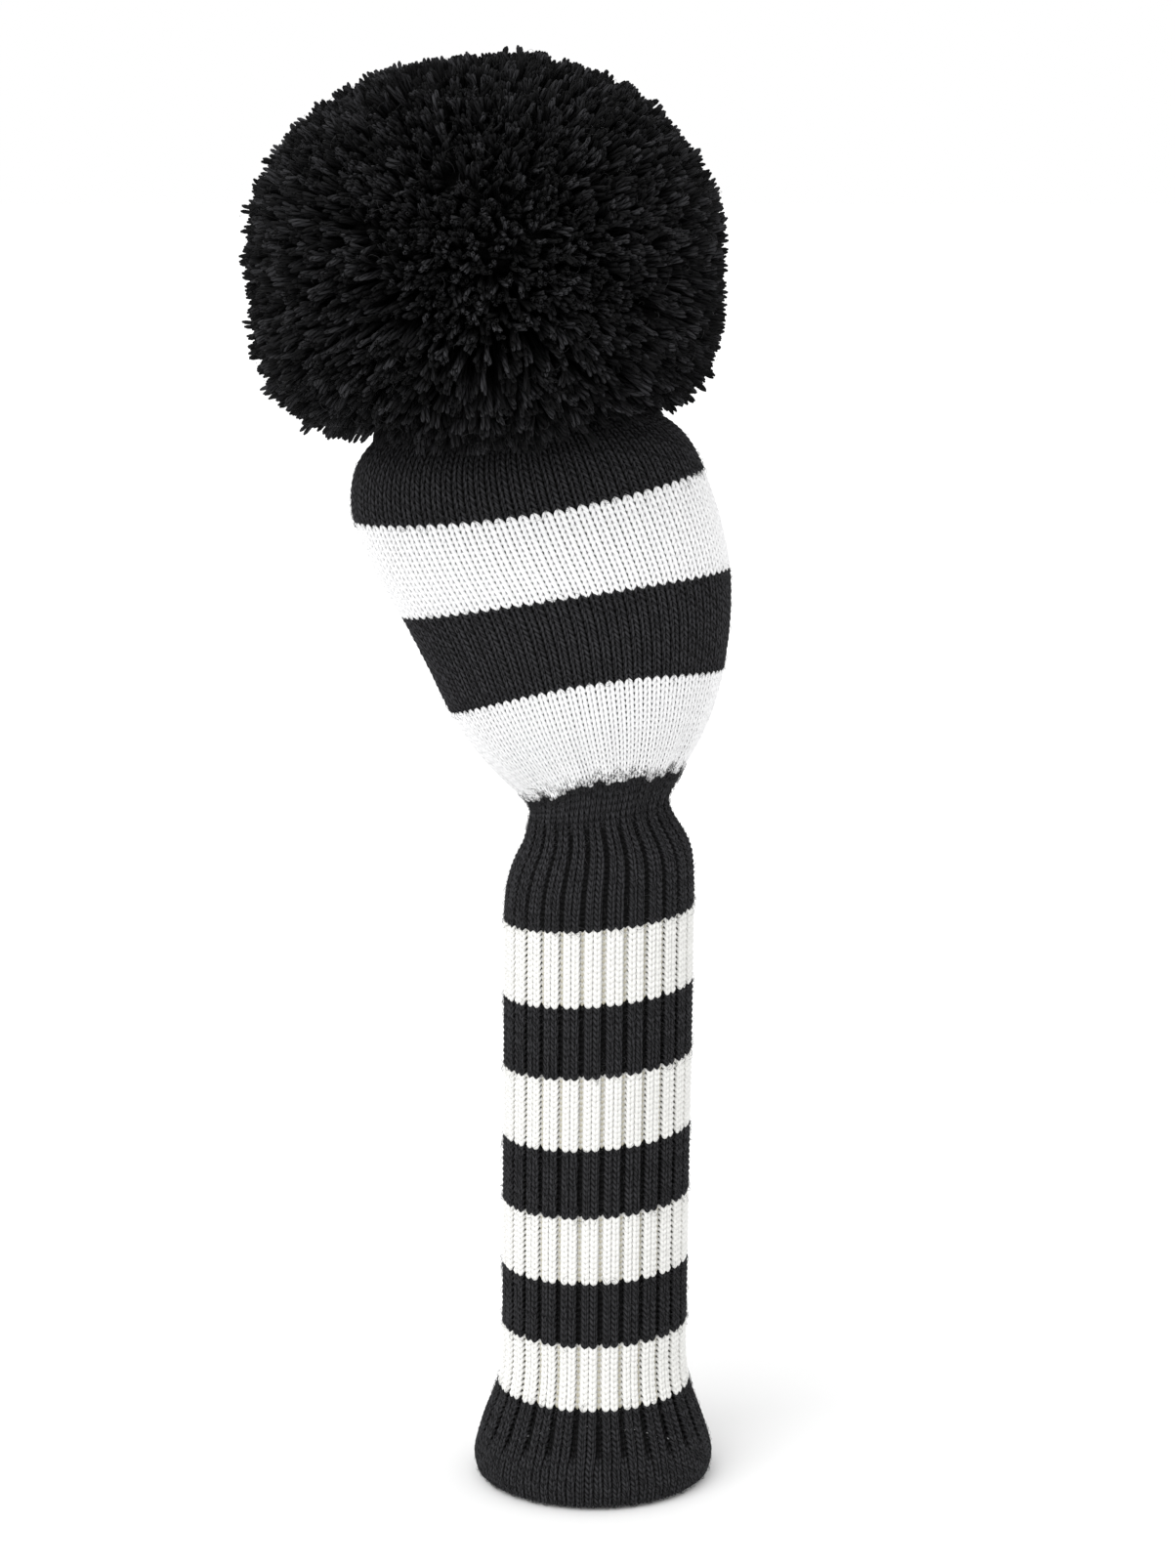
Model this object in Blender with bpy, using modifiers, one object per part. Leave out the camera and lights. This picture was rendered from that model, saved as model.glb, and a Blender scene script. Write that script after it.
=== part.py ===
"""A knitted driver head cover: a striped ribbed sock, an elastic neck, an asymmetric head bag and a pom-pom.

The origin is the centre of the cuff's mouth. +Z runs up the club's shaft into the head bag, +X towards the
driver's heel, and -Y is the front. Every knitted piece is a stretch of one lofted surface, which runs from
the mouth over the crown, so that each band ends where the next begins.
"""

from math import acos, cos, pi, radians, sin, sqrt

import bmesh
import bpy
from mathutils import Matrix, Vector

MM = 0.001

# The fabric, in millimetres.
KNIT_THICKNESS = 2.6
LINING_THICKNESS = 1.2
GAP = 0.3
SEAM_GAP = 0.4
LINK_GAP = 1.7

# How finely round shapes are cut: the cover and what is turned, its cords, its threads and its balls.
SEGMENTS = 32
CORD_SEGMENTS = 12
THREAD_SEGMENTS = 6
KNOT_SEGMENTS = 16
KNOT_RINGS = 10
POM_SEGMENTS = 32
POM_RINGS = 16

# Heights along the cover's axis, in millimetres, between one colour and the next.
CUFF_TOP = 30.5
SOCK_BANDS = (30.5, 51.0, 72.0, 93.7, 115.9, 139.3, 162.4, 186.6)
NECK_BAND_TOP = 203.0
WAIST = 219.8
NECK_JOIN = 227.1
MIDDLE_BAND_START = 257.9
UPPER_BAND_START = 289.1
CROWN_START = 319.5
CROWN_HOLE = 351.0

# Cross-sections along the cover: axial position, centre's x and z, half width, half depth, the tilt that
# lifts the +X side, in degrees, and how far the front and back stand above the two sides. Millimetres.
SECTIONS = (
    (0.0, 0.0, 0.0, 38.6, 38.6, 0.0, 0.0),
    (2.0, 0.0, 2.0, 38.6, 38.6, 0.0, 0.0),
    (6.5, 0.0, 6.5, 39.2, 39.2, 0.0, 0.0),
    (14.0, 0.0, 14.0, 37.5, 37.5, 0.0, 0.0),
    (21.0, 0.0, 21.0, 35.2, 35.2, 0.0, 0.0),
    (27.5, 0.1, 27.5, 32.7, 32.7, 0.3, 0.0),
    (35.0, 0.2, 35.0, 30.6, 30.6, 0.6, 0.0),
    (51.0, 0.4, 51.0, 30.4, 30.4, 0.9, 0.0),
    (93.7, 0.8, 93.7, 30.5, 30.5, 2.8, 0.0),
    (139.3, 1.4, 139.3, 30.7, 30.7, 4.6, 0.0),
    (186.6, 1.8, 186.6, 30.8, 30.8, 4.8, 0.0),
    (197.0, 2.1, 197.0, 30.5, 30.5, 5.2, 0.0),
    (205.5, 2.7, 205.5, 28.9, 28.7, 5.8, 0.0),
    (211.5, 2.7, 211.5, 25.9, 25.5, 6.5, 0.0),
    (219.8, 1.8, 219.8, 22.7, 22.2, 7.5, 0.4),
    (227.1, 3.5, 227.1, 25.4, 23.0, 10.9, 4.7),
    (240.0, 1.4, 240.0, 35.2, 28.6, 10.2, 6.2),
    (257.9, -2.0, 257.9, 44.0, 34.0, 9.1, 6.2),
    (273.5, -4.6, 273.5, 48.6, 36.6, 8.9, 4.6),
    (289.1, -8.6, 289.1, 52.4, 37.5, 8.7, 2.1),
    (304.5, -14.6, 304.5, 55.2, 37.8, 8.7, -0.8),
    (319.5, -20.1, 319.5, 55.6, 37.2, 8.7, -2.9),
    (333.9, -23.4, 333.9, 51.6, 34.2, 6.8, -3.0),
    (343.8, -24.0, 343.8, 40.0, 27.0, 4.6, -2.0),
    (349.3, -24.0, 349.3, 22.0, 15.5, 2.4, -0.8),
    (351.0, -24.0, 351.0, 5.2, 5.2, 0.0, 0.0),
)

# The waist's elastic, the seam threads and the ties, in millimetres.
ELASTIC_HEIGHT = 7.0
ELASTIC_THICKNESS = 1.2
ELASTIC_GAP = 0.9
THREAD_RADIUS = 0.5
HEM_START = 0.6
HEM_TOP = 24.0
HEM_STITCH_RISE = 1.4
SOCK_LINING_START = 36.0
GATHER_RADIUS = 2.7
TIE_RADIUS = 1.5
WASHER_RADIUS = 11.0
WASHER_THICKNESS = 1.5
WASHER_DROP = 1.6
ANCHOR_KNOT_RADIUS = 4.0
ANCHOR_KNOT_HALF_HEIGHT = 3.0
CROWN_KNOT_RADIUS = 2.6

# The pom-pom, in millimetres: a flattened ball that sits on the crown and leans with it. Its underside
# leaves room to tilt about the crown's knot, in degrees, and starts DISH_DROP below the crown's seam.
POM_CENTRE = (-33.3, 0.0, 394.5)
POM_HALF = (76.5, 74.0, 63.0)
POM_BORE_RADIUS = 8.0
POM_BORE_LENGTH = 60.0
POM_ROOM = 18.0
DISH_DROP = 6.0
DISH_ROWS = 8
BINDING_RADIUS = 6.0
BINDING_HEIGHT = 9.0
BINDING_ROOM = 1.0

WHITE_YARN = (0.86, 0.86, 0.87)
BLACK_YARN = (0.018, 0.018, 0.020)
LINING_COLOUR = (0.045, 0.045, 0.048)
ELASTIC_COLOUR = (0.03, 0.03, 0.03)
WASHER_COLOUR = (0.05, 0.05, 0.05)

OBJECT_NAME = "driver_head_cover"


def clear_scene():
    for obj in list(bpy.data.objects):
        bpy.data.objects.remove(obj, do_unlink=True)


def new_collection(name, shown=True):
    collection = bpy.data.collections.new(name)
    bpy.context.scene.collection.children.link(collection)
    collection.hide_render = not shown
    return collection


def new_material(name, colour, roughness=0.9, metallic=0.0):
    material = bpy.data.materials.new(name)
    material.use_nodes = True
    shader = material.node_tree.nodes["Principled BSDF"]
    shader.inputs["Base Color"].default_value = (*colour, 1.0)
    shader.inputs["Roughness"].default_value = roughness
    shader.inputs["Metallic"].default_value = metallic
    return material


def add_hinge(name, place, collection, parent=None):
    """An empty on a joint's axis, which the pieces that move about it are parented to."""
    hinge = bpy.data.objects.new(name, None)
    hinge.empty_display_size = 20.0 * MM
    collection.objects.link(hinge)
    hang(hinge, parent)
    hinge.location = Vector(place) * MM
    bpy.context.view_layer.update()
    return hinge


def hang(obj, hinge):
    """Parents an object to a hinge, with its location still counted from the cover's origin."""
    if hinge:
        obj.parent = hinge
        obj.matrix_parent_inverse = hinge.matrix_world.inverted()


def add_object(name, bm, material, collection, hinge=None):
    """Turns a bmesh in millimetres about the cover's origin into an object."""
    bmesh.ops.scale(bm, verts=bm.verts, vec=(MM, MM, MM))
    bmesh.ops.recalc_face_normals(bm, faces=bm.faces)
    mesh = bpy.data.meshes.new(name)
    bm.to_mesh(mesh)
    bm.free()
    mesh.shade_smooth()
    mesh.set_sharp_from_angle(angle=radians(40.0))
    mesh.materials.append(material)
    obj = bpy.data.objects.new(name, mesh)
    collection.objects.link(obj)
    hang(obj, hinge)
    return obj


def add_turned(name, profile, centre, material, collection, hinge=None, tilt=0.0):
    """A solid turned about a line through centre, from (radius, height) points that run down its outer side."""
    mesh = bpy.data.meshes.new(name)
    points = [(radius * MM, 0.0, height * MM) for radius, height in profile]
    edges = [(i, (i + 1) % len(profile)) for i in range(len(profile))]
    mesh.from_pydata(points, edges, [])
    mesh.materials.append(material)
    obj = bpy.data.objects.new(name, mesh)
    obj.location = Vector(centre) * MM
    obj.rotation_euler.y = tilt
    collection.objects.link(obj)
    hang(obj, hinge)
    turned = obj.modifiers.new("turned", "SCREW")
    turned.steps = SEGMENTS
    turned.render_steps = SEGMENTS
    turned.use_merge_vertices = True
    turned.merge_threshold = 0.01 * MM
    return obj


def eased(values, knots, at):
    """A smooth curve through values at the knots, with slopes taken from the neighbours (Catmull-Rom)."""
    last = len(knots) - 1
    span = max(i for i in range(last) if knots[i] <= at or i == 0)

    def slope(i):
        low, high = max(i - 1, 0), min(i + 1, last)
        return (values[high] - values[low]) / (knots[high] - knots[low])

    width = knots[span + 1] - knots[span]
    t = min(max((at - knots[span]) / width, 0.0), 1.0)
    start, end = values[span], values[span + 1]
    return (
        (2 * t**3 - 3 * t**2 + 1) * start
        + (t**3 - 2 * t**2 + t) * width * slope(span)
        + (3 * t**2 - 2 * t**3) * end
        + (t**3 - t**2) * width * slope(span + 1)
    )


def section(at):
    """The cover's cross-section at an axial position: x, z, half width, half depth, tilt and front lift."""
    knots = [row[0] for row in SECTIONS]
    return [eased([row[i] for row in SECTIONS], knots, at) for i in range(1, 7)]


def surface_point(at, turn):
    """A point of the cover's outer surface, turn radians round from +X towards the back."""
    x, z, half_width, half_depth, tilt, lift = section(at)
    across = half_width * cos(turn)
    return Vector(
        (
            x + across * cos(radians(tilt)),
            half_depth * sin(turn),
            z + across * sin(radians(tilt)) + lift * sin(turn) ** 2,
        )
    )


def surface_normal(at, turn):
    step = 0.05
    low, high = max(at - step, 0.0), min(at + step, CROWN_HOLE)
    up = surface_point(high, turn) - surface_point(low, turn)
    around = surface_point(at, turn + step) - surface_point(at, turn - step)
    return around.cross(up).normalized()


def rows_between(start, end, count):
    return [start + (end - start) * i / count for i in range(count + 1)]


def crown_rows():
    """Rows that crowd together towards the crown's flat top."""
    start = CROWN_START + SEAM_GAP / 2
    return [start + (CROWN_HOLE - start) * sin(pi / 2 * i / 6) for i in range(7)]


def ring_at(bm, at, depth):
    """A ring of vertices at one axial position, depth millimetres under the outer surface."""
    turns = [2 * pi * i / SEGMENTS for i in range(SEGMENTS)]
    return [bm.verts.new(surface_point(at, turn) - depth * surface_normal(at, turn)) for turn in turns]


def join_rings(bm, low, high):
    for i in range(len(low)):
        j = (i + 1) % len(low)
        bm.faces.new((low[i], low[j], high[j], high[i]))


def add_band(name, positions, material, collection, hinge=None, depth=0.0, thickness=KNIT_THICKNESS):
    """A knitted ring, lofted through some axial positions.

    Its inner rings stand under its outer ones along the surface's own normals, which neighbouring bands
    share, so the seam between two bands is even through the fabric.
    """
    bm = bmesh.new()
    outer = [ring_at(bm, at, depth) for at in positions]
    inner = [ring_at(bm, at, depth + thickness) for at in positions]
    loop = outer + inner[::-1]
    for low, high in zip(loop, loop[1:] + loop[:1]):
        join_rings(bm, low, high)
    return add_object(name, bm, material, collection, hinge)


def add_ring_thread(name, at, depth, material, collection, hinge=None):
    """A closed thread that runs round the inside of the fabric at one axial position."""
    curve = bpy.data.curves.new(name, "CURVE")
    curve.dimensions = "3D"
    curve.bevel_depth = THREAD_RADIUS * MM
    curve.bevel_resolution = 1
    spline = curve.splines.new("POLY")
    spline.points.add(SEGMENTS - 1)
    for i, point in enumerate(spline.points):
        turn = 2 * pi * i / SEGMENTS
        place = surface_point(at, turn) - depth * surface_normal(at, turn)
        point.co = (*(place * MM), 1.0)
    spline.use_cyclic_u = True
    curve.materials.append(material)
    obj = bpy.data.objects.new(name, curve)
    collection.objects.link(obj)
    hang(obj, hinge)
    return obj


def ball_bmesh(centre, half, segments, rings):
    bm = bmesh.new()
    bmesh.ops.create_uvsphere(bm, u_segments=segments, v_segments=rings, radius=1.0)
    bmesh.ops.scale(bm, verts=bm.verts, vec=half)
    bmesh.ops.translate(bm, verts=bm.verts, vec=Vector(centre))
    return bm


def rod_bmesh(low, high, radius, segments=CORD_SEGMENTS):
    """A round cord from one point to another."""
    low, high = Vector(low), Vector(high)
    bm = bmesh.new()
    bmesh.ops.create_cone(
        bm,
        cap_ends=True,
        segments=segments,
        radius1=radius,
        radius2=radius,
        depth=(high - low).length,
    )
    turn = (high - low).to_track_quat("Z", "Y").to_matrix()
    bmesh.ops.rotate(bm, verts=bm.verts, cent=(0.0, 0.0, 0.0), matrix=turn)
    bmesh.ops.translate(bm, verts=bm.verts, vec=(low + high) / 2)
    return bm


def make_sock(collection):
    white = new_material("white_sock_yarn", WHITE_YARN)
    black = new_material("black_sock_yarn", BLACK_YARN)
    lining = new_material("sock_lining_knit", LINING_COLOUR)
    half = SEAM_GAP / 2
    inner = KNIT_THICKNESS + GAP
    cuff_rows = [0.0, 2.0] + rows_between(6.5, CUFF_TOP - half, 4)
    hem_rows = [HEM_START] + [at for at in cuff_rows if HEM_START < at < HEM_TOP]
    add_band("cuff_band_black", cuff_rows, black, collection)
    add_band("cuff_hem_inner", hem_rows, black, collection, depth=inner)
    stitch_at = HEM_TOP + HEM_STITCH_RISE
    add_ring_thread("cuff_hem_stitch", stitch_at, inner + 2 * THREAD_RADIUS, black, collection)
    for number, (low, high) in enumerate(zip(SOCK_BANDS, SOCK_BANDS[1:]), start=1):
        yarn, colour = (white, "white") if number % 2 else (black, "black")
        name = f"sock_band_{number}_{colour}"
        add_band(name, rows_between(low + half, high - half, 2), yarn, collection)
    neck_rows = rows_between(SOCK_BANDS[-1] + half, NECK_BAND_TOP - half, 3)
    add_band("neck_band_black", neck_rows, black, collection)
    gather_rows = rows_between(NECK_BAND_TOP + half, WAIST - half, 4)
    add_band("neck_gather_lower", gather_rows, black, collection)
    lining_rows = rows_between(SOCK_LINING_START, SOCK_BANDS[-1], 4) + neck_rows[1:-1]
    add_band("sock_lining", lining_rows, lining, collection, depth=inner, thickness=LINING_THICKNESS)


def waist_centre():
    x, z = section(WAIST)[:2]
    return (x, 0.0, z)


def make_neck_elastic(collection, hinge):
    """The elastic laid inside the waist, square to the waist's own plane."""
    _, _, half_width, half_depth, tilt, _ = section(WAIST)
    outer = min(half_width, half_depth) - KNIT_THICKNESS - ELASTIC_GAP
    inner = outer - ELASTIC_THICKNESS
    half = ELASTIC_HEIGHT / 2
    profile = ((outer, half), (outer, -half), (inner, -half), (inner, half))
    elastic = new_material("elastic_rubber", ELASTIC_COLOUR, roughness=0.7)
    add_turned("neck_elastic", profile, waist_centre(), elastic, collection, hinge, tilt=-radians(tilt))


def make_head(collection, hinge):
    white = new_material("white_head_yarn", WHITE_YARN)
    black = new_material("black_head_yarn", BLACK_YARN)
    lining = new_material("head_lining_knit", LINING_COLOUR)
    thread = new_material("seam_thread", BLACK_YARN)
    half = SEAM_GAP / 2
    link = LINK_GAP / 2
    inner = KNIT_THICKNESS + GAP
    gather = rows_between(WAIST + half, NECK_JOIN - link, 2)
    lower = rows_between(NECK_JOIN + link, MIDDLE_BAND_START - half, 4)
    middle = rows_between(MIDDLE_BAND_START + half, UPPER_BAND_START - half, 2)
    upper = rows_between(UPPER_BAND_START + half, CROWN_START - half, 2)
    crown = crown_rows()
    add_band("neck_gather_upper", gather, black, collection, hinge)
    add_ring_thread("neck_linking_thread", NECK_JOIN, KNIT_THICKNESS / 2, thread, collection, hinge)
    add_band("head_band_white_lower", lower, white, collection, hinge)
    add_band("head_band_black_middle", middle, black, collection, hinge)
    add_band("head_band_white_upper", upper, white, collection, hinge)
    add_band("head_band_black_crown", crown, black, collection, hinge)
    rows = lower[2:-1] + middle[:-1] + upper[:-1] + crown
    add_band("head_lining", rows, lining, collection, hinge, depth=inner, thickness=LINING_THICKNESS)
    make_crown_anchor(collection, thread, hinge)


def make_crown_anchor(collection, thread, hinge):
    """What holds the pom-pom's tie in the crown: a drawn thread, a washer, a strand and a knot inside."""
    x, z = section(CROWN_HOLE)[:2]
    gather = circle_profile(GATHER_RADIUS, THREAD_RADIUS)
    add_turned("crown_gather_thread", gather, (x, 0.0, z + GAP), thread, collection, hinge)
    under_lining = z - KNIT_THICKNESS - LINING_THICKNESS - 3 * GAP
    half = WASHER_THICKNESS / 2
    hole = TIE_RADIUS + GAP
    middle = under_lining - WASHER_DROP - half
    profile = ((WASHER_RADIUS, half), (WASHER_RADIUS, -half), (hole, -half), (hole, half))
    washer = new_material("washer_felt", WASHER_COLOUR, roughness=0.95)
    add_turned("anchor_washer", profile, (x, 0.0, middle), washer, collection, hinge)
    knot_top = middle - half - GAP
    knot_half = (ANCHOR_KNOT_RADIUS, ANCHOR_KNOT_RADIUS, ANCHOR_KNOT_HALF_HEIGHT)
    knot = ball_bmesh((x, 0.0, knot_top - ANCHOR_KNOT_HALF_HEIGHT), knot_half, KNOT_SEGMENTS, KNOT_RINGS)
    add_object("anchor_knot", knot, thread, collection, hinge)
    strand = rod_bmesh((x, 0.0, knot_top + GAP), (x, 0.0, z + GAP), TIE_RADIUS)
    add_object("tie_strand", strand, thread, collection, hinge)


def circle_profile(centre_radius, radius):
    """The section of a ring, as (radius, height) points that run down its outer side."""
    turns = [pi / 2 - 2 * pi * i / THREAD_SEGMENTS for i in range(THREAD_SEGMENTS)]
    return [(centre_radius + radius * cos(t), radius * sin(t)) for t in turns]


def crown_pivot():
    """The middle of the knot on the crown, where the pom-pom's two joints cross."""
    x, z = section(CROWN_HOLE)[:2]
    return Vector((x, 0.0, z + 2 * GAP + CROWN_KNOT_RADIUS))


def make_pom(collection, hinge):
    """The pom-pom and its tie."""
    yarn = new_material("black_pom_yarn", BLACK_YARN, roughness=0.8)
    thread = new_material("pom_tie_yarn", BLACK_YARN, roughness=0.85)
    pivot = crown_pivot()
    centre = Vector(POM_CENTRE)
    lean = (centre - pivot).normalized()
    knot = ball_bmesh(pivot, (CROWN_KNOT_RADIUS,) * 3, KNOT_SEGMENTS, KNOT_RINGS)
    add_object("crown_knot", knot, thread, collection, hinge)
    cord_start = pivot + lean * (CROWN_KNOT_RADIUS + 3 * GAP)
    binding_low = centre - lean * BINDING_HEIGHT / 2
    binding_high = centre + lean * BINDING_HEIGHT / 2
    cord = rod_bmesh(cord_start, binding_low - lean * GAP, TIE_RADIUS)
    add_object("pom_tie_cord", cord, thread, collection, hinge)
    binding = rod_bmesh(binding_low, binding_high, BINDING_RADIUS, SEGMENTS)
    add_object("pom_binding", binding, thread, collection, hinge)
    bore_top = binding_high + lean * BINDING_ROOM
    bore = rod_bmesh(pivot - lean * POM_BORE_LENGTH, bore_top, POM_BORE_RADIUS, SEGMENTS)
    make_pom_yarn(collection, yarn, bore, hinge)


def make_pom_yarn(collection, yarn, bore, hinge):
    """The ball of cut yarn, with a bore for its tie and an underside dished to clear the crown."""
    ball = ball_bmesh(POM_CENTRE, POM_HALF, POM_SEGMENTS, POM_RINGS)
    pom = add_object("pom_yarn", ball, yarn, collection, hinge)
    cutters = new_collection("cutters", shown=False)
    for name, shape in (("pom_bore_cutter", bore), ("pom_dish_cutter", pom_dish_bmesh(crown_pivot()))):
        cutter = add_object(name, shape, yarn, cutters, hinge)
        cutter.hide_render = True
        cutter.display_type = "WIRE"
        cut = pom.modifiers.new(name, "BOOLEAN")
        cut.operation = "DIFFERENCE"
        cut.solver = "EXACT"
        cut.object = cutter


def pom_dish_bmesh(pivot):
    """The room that the crown takes as the pom-pom tilts: the crown's own surface, raised from the pivot."""
    bm = bmesh.new()
    start = CROWN_START - DISH_DROP
    turns = [2 * pi * i / SEGMENTS for i in range(SEGMENTS)]
    rings = []
    for at in rows_between(start, CROWN_HOLE, DISH_ROWS)[:-1]:
        rings.append([bm.verts.new(raised(surface_point(at, turn), pivot)) for turn in turns])
    for low, high in zip(rings, rings[1:]):
        join_rings(bm, low, high)
    bm.faces.new(rings[-1])
    bm.faces.new(list(reversed(rings[0])))
    return bm


def raised(point, pivot):
    """The point turned up about the pivot by the pom-pom's room to tilt."""
    level = Vector((point.x - pivot.x, point.y - pivot.y, 0.0))
    out = level.length
    drop = pivot.z - point.z
    reach = sqrt(out**2 + drop**2)
    angle = radians(POM_ROOM) - acos(out / reach)
    return pivot + level.normalized() * (reach * cos(angle)) + Vector((0.0, 0.0, reach * sin(angle)))


def main():
    clear_scene()
    cover = new_collection(OBJECT_NAME)
    make_sock(cover)
    neck_hinge = add_hinge("neck_hinge", waist_centre(), cover)
    make_neck_elastic(cover, neck_hinge)
    make_head(cover, neck_hinge)
    pom_hinge = add_hinge("pom_hinge", crown_pivot(), cover, neck_hinge)
    make_pom(cover, pom_hinge)


main()
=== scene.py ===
"""Looks of the driver head cover: every stitch and every cut yarn end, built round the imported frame.

The cover's knit is one surface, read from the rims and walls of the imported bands. Each course of each band
is a yarn that runs round that surface and loops up and down through its wales.
"""

import math

import bpy
import numpy as np
from mathutils import Matrix, Vector
from mathutils.bvhtree import BVHTree


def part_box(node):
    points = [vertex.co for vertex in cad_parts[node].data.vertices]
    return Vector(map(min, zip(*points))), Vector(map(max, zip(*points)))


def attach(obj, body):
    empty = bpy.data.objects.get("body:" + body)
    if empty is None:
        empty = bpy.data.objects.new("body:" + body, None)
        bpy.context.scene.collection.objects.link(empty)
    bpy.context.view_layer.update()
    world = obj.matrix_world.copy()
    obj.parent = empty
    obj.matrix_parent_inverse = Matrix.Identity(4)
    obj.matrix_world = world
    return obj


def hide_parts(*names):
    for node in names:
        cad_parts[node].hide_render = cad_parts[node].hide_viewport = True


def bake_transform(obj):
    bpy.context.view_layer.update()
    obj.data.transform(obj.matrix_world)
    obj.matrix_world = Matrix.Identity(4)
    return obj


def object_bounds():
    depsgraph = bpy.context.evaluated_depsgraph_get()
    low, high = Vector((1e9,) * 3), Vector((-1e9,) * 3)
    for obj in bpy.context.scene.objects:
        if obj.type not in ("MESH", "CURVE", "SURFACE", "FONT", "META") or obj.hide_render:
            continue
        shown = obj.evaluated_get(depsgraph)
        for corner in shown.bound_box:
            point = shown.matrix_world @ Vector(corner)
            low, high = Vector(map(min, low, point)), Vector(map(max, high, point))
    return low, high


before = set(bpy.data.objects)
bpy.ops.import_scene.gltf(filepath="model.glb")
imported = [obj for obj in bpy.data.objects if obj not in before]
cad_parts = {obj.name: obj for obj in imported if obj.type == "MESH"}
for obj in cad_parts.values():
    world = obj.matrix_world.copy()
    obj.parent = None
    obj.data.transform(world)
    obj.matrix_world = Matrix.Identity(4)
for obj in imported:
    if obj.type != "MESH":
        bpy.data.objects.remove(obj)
CAD_LOW, CAD_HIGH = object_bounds()

MM = 0.001
SEED = 7

# The camera: how far it stands off, how far it looks down, its lens, and the place it looks at, as a distance
# to the side and a share of the cover's height.
CAMERA_DISTANCE = 1.085
CAMERA_DOWN = math.radians(10.0)
CAMERA_LENS = 78.5
CAMERA_AIM_X = -1.8 * MM
CAMERA_AIM_UP = 0.498

# The key light: a broad, soft lamp from the upper left, in front.
KEY_STRENGTH = 1.35
KEY_SOFTNESS = math.radians(50.0)
KEY_FROM = (-0.7, -0.9, 1.1)

# The floor: how far it reaches to each side, and how far under the cover it lies.
FLOOR_REACH = 60.0
FLOOR_GAP = 0.5 * MM

# The knit. Lengths are in metres; pitches are along the surface.
RIBS = 27
WALES_PER_RIB = 3
HEAD_WALES = 80
SOCK_COURSE = 1.85 * MM
HEAD_COURSE = 2.05 * MM
SOCK_YARN = 0.68 * MM
HEAD_YARN = 0.68 * MM
# Where the wales are narrower than on the straight sock or on the wide part of the bag, the yarn is slimmer,
# down to this share.
SOCK_RADIUS = 30.5 * MM
WIDE_HEAD_WALE = 3.5 * MM
SLIMMEST_YARN = 0.2
# How far a loop reaches up and down from its course's middle, in courses, and how much that varies.
SOCK_REACH = 0.7
HEAD_REACH = 0.78
EDGE_REACH = 0.66
REACH_SPREAD = 0.03
# The bag's stitches: how flat their legs lie, and how dark and how wide the painted shade in the gap between
# two wales is.
LEG_FLATNESS = 0.4
WALE_GAP_SHADE = 1.0
WALE_GAP_SHADE_WIDTH = 0.2
# How far a course's yarn goes in and out, and how far it lies under the surface, both in yarn radii.
YARN_WAVE = 0.9
YARN_SINK = 1.9
COURSE_SPREAD = 0.02 * MM
# How much a loop rounds out sideways, and how much its legs draw together, which is most at the waist.
ROUND_OUT = 0.035
SOCK_GROUPING = 0.03
HEAD_GROUPING = 0.0
WAIST_GROUPING = 0.08
WAIST_REACH = 9 * MM
# The plain rings behind the neck's courses, which close it to light, and the thread at the join.
BACKING_DEPTH = 2.2 * MM
BACKING_SHARE = 0.62
LINKING_DEPTH = 1.3 * MM
LINKING_RADIUS = 0.6 * MM
# The ribs: how deep a valley is, how much a rib arches, and how much of its width its knit wales take.
RIB_VALLEY = 1.3 * MM
RIB_CROWN = 0.3 * MM
RIB_SHARE = 0.78
KNIT_WALES = WALES_PER_RIB - 1
# Where a rib's valley lies and how wide it is, in wales, and how much its yarn is turned over to purl.
VALLEY_WALE = 2.5
VALLEY_WIDTH = 0.42
VALLEY_FLATTENING = 1.6
# The turn of one valley near the front, and how far round its rib that valley's middle lies.
VALLEY_TURN = math.radians(-90 + 3.5)
VALLEY_SHARE = 0.91
# Above the cuff's fold: where the plain hem starts to turn into ribs, and where it has done so.
HEM_PLAIN = 13 * MM
HEM_RIBBED = 21 * MM
# The ribs lose this share of themselves between these distances below and above the waist.
RIB_LOSS = 0.85
FADE_BELOW = 7 * MM
FADE_ABOVE = 3 * MM
# The points of one stitch along its yarn, and the sides of the yarn's section.
STITCH_POINTS = 8
YARN_SIDES = 5

# The join of neck and head bag: how far it strays from its line, and the puckers above it.
JAG = 0.9 * MM
JAG_LENGTH = 5.0 * MM
PUCKER = 1.3 * MM
PUCKER_LENGTH = 15.0 * MM
PUCKER_PEAK = 0.2 * PUCKER_LENGTH
PUCKER_START = -6 * MM
PUCKER_FULL = 4 * MM

# The linings: points round them and rows up them.
LINING_AROUND = 128
LINING_ROWS = 80

# Loose fibres that stand off the black yarn.
FUZZ_COUNT = 6500
JOIN_FUZZ = 1400
JOIN_SPILL = 1.6 * MM
FUZZ_RADIUS = 0.05 * MM
FUZZ_SPREAD = 2.5 * MM
FUZZ_LENGTHS = (1.2 * MM, 4.5 * MM)
FUZZ_CURL = 2.2
FUZZ_ROOT = 0.5 * MM
FUZZ_HEIGHTS = (0.4, 1.0)
FIBRE_POINTS = 6
FIBRE_SIDES = 3

# The pom-pom: its height as a share of its width, its yarn ends, and the pieces that they are joined into.
POM_FLATNESS = 0.823
POM_STRANDS = 9400
POM_SECTORS = 8
POM_YARN = 0.64 * MM
# Its ends lean into tufts, some of which stand out further than others.
POM_TUFTS = 110
TUFT_SHARPNESS = 60.0
TUFT_PULL = 0.26
TUFT_SWELL = 0.016
RAY_SPREAD = 0.02
# An end's length as a share of the pom-pom's half size, and how much shorter some are cut.
POM_LENGTH = 0.96
LENGTH_SPREAD = 0.014
CUT_SHORT = 0.05
SHORT_SHARE = 0.2
SHORTEST_YARN = 18 * MM
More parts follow.
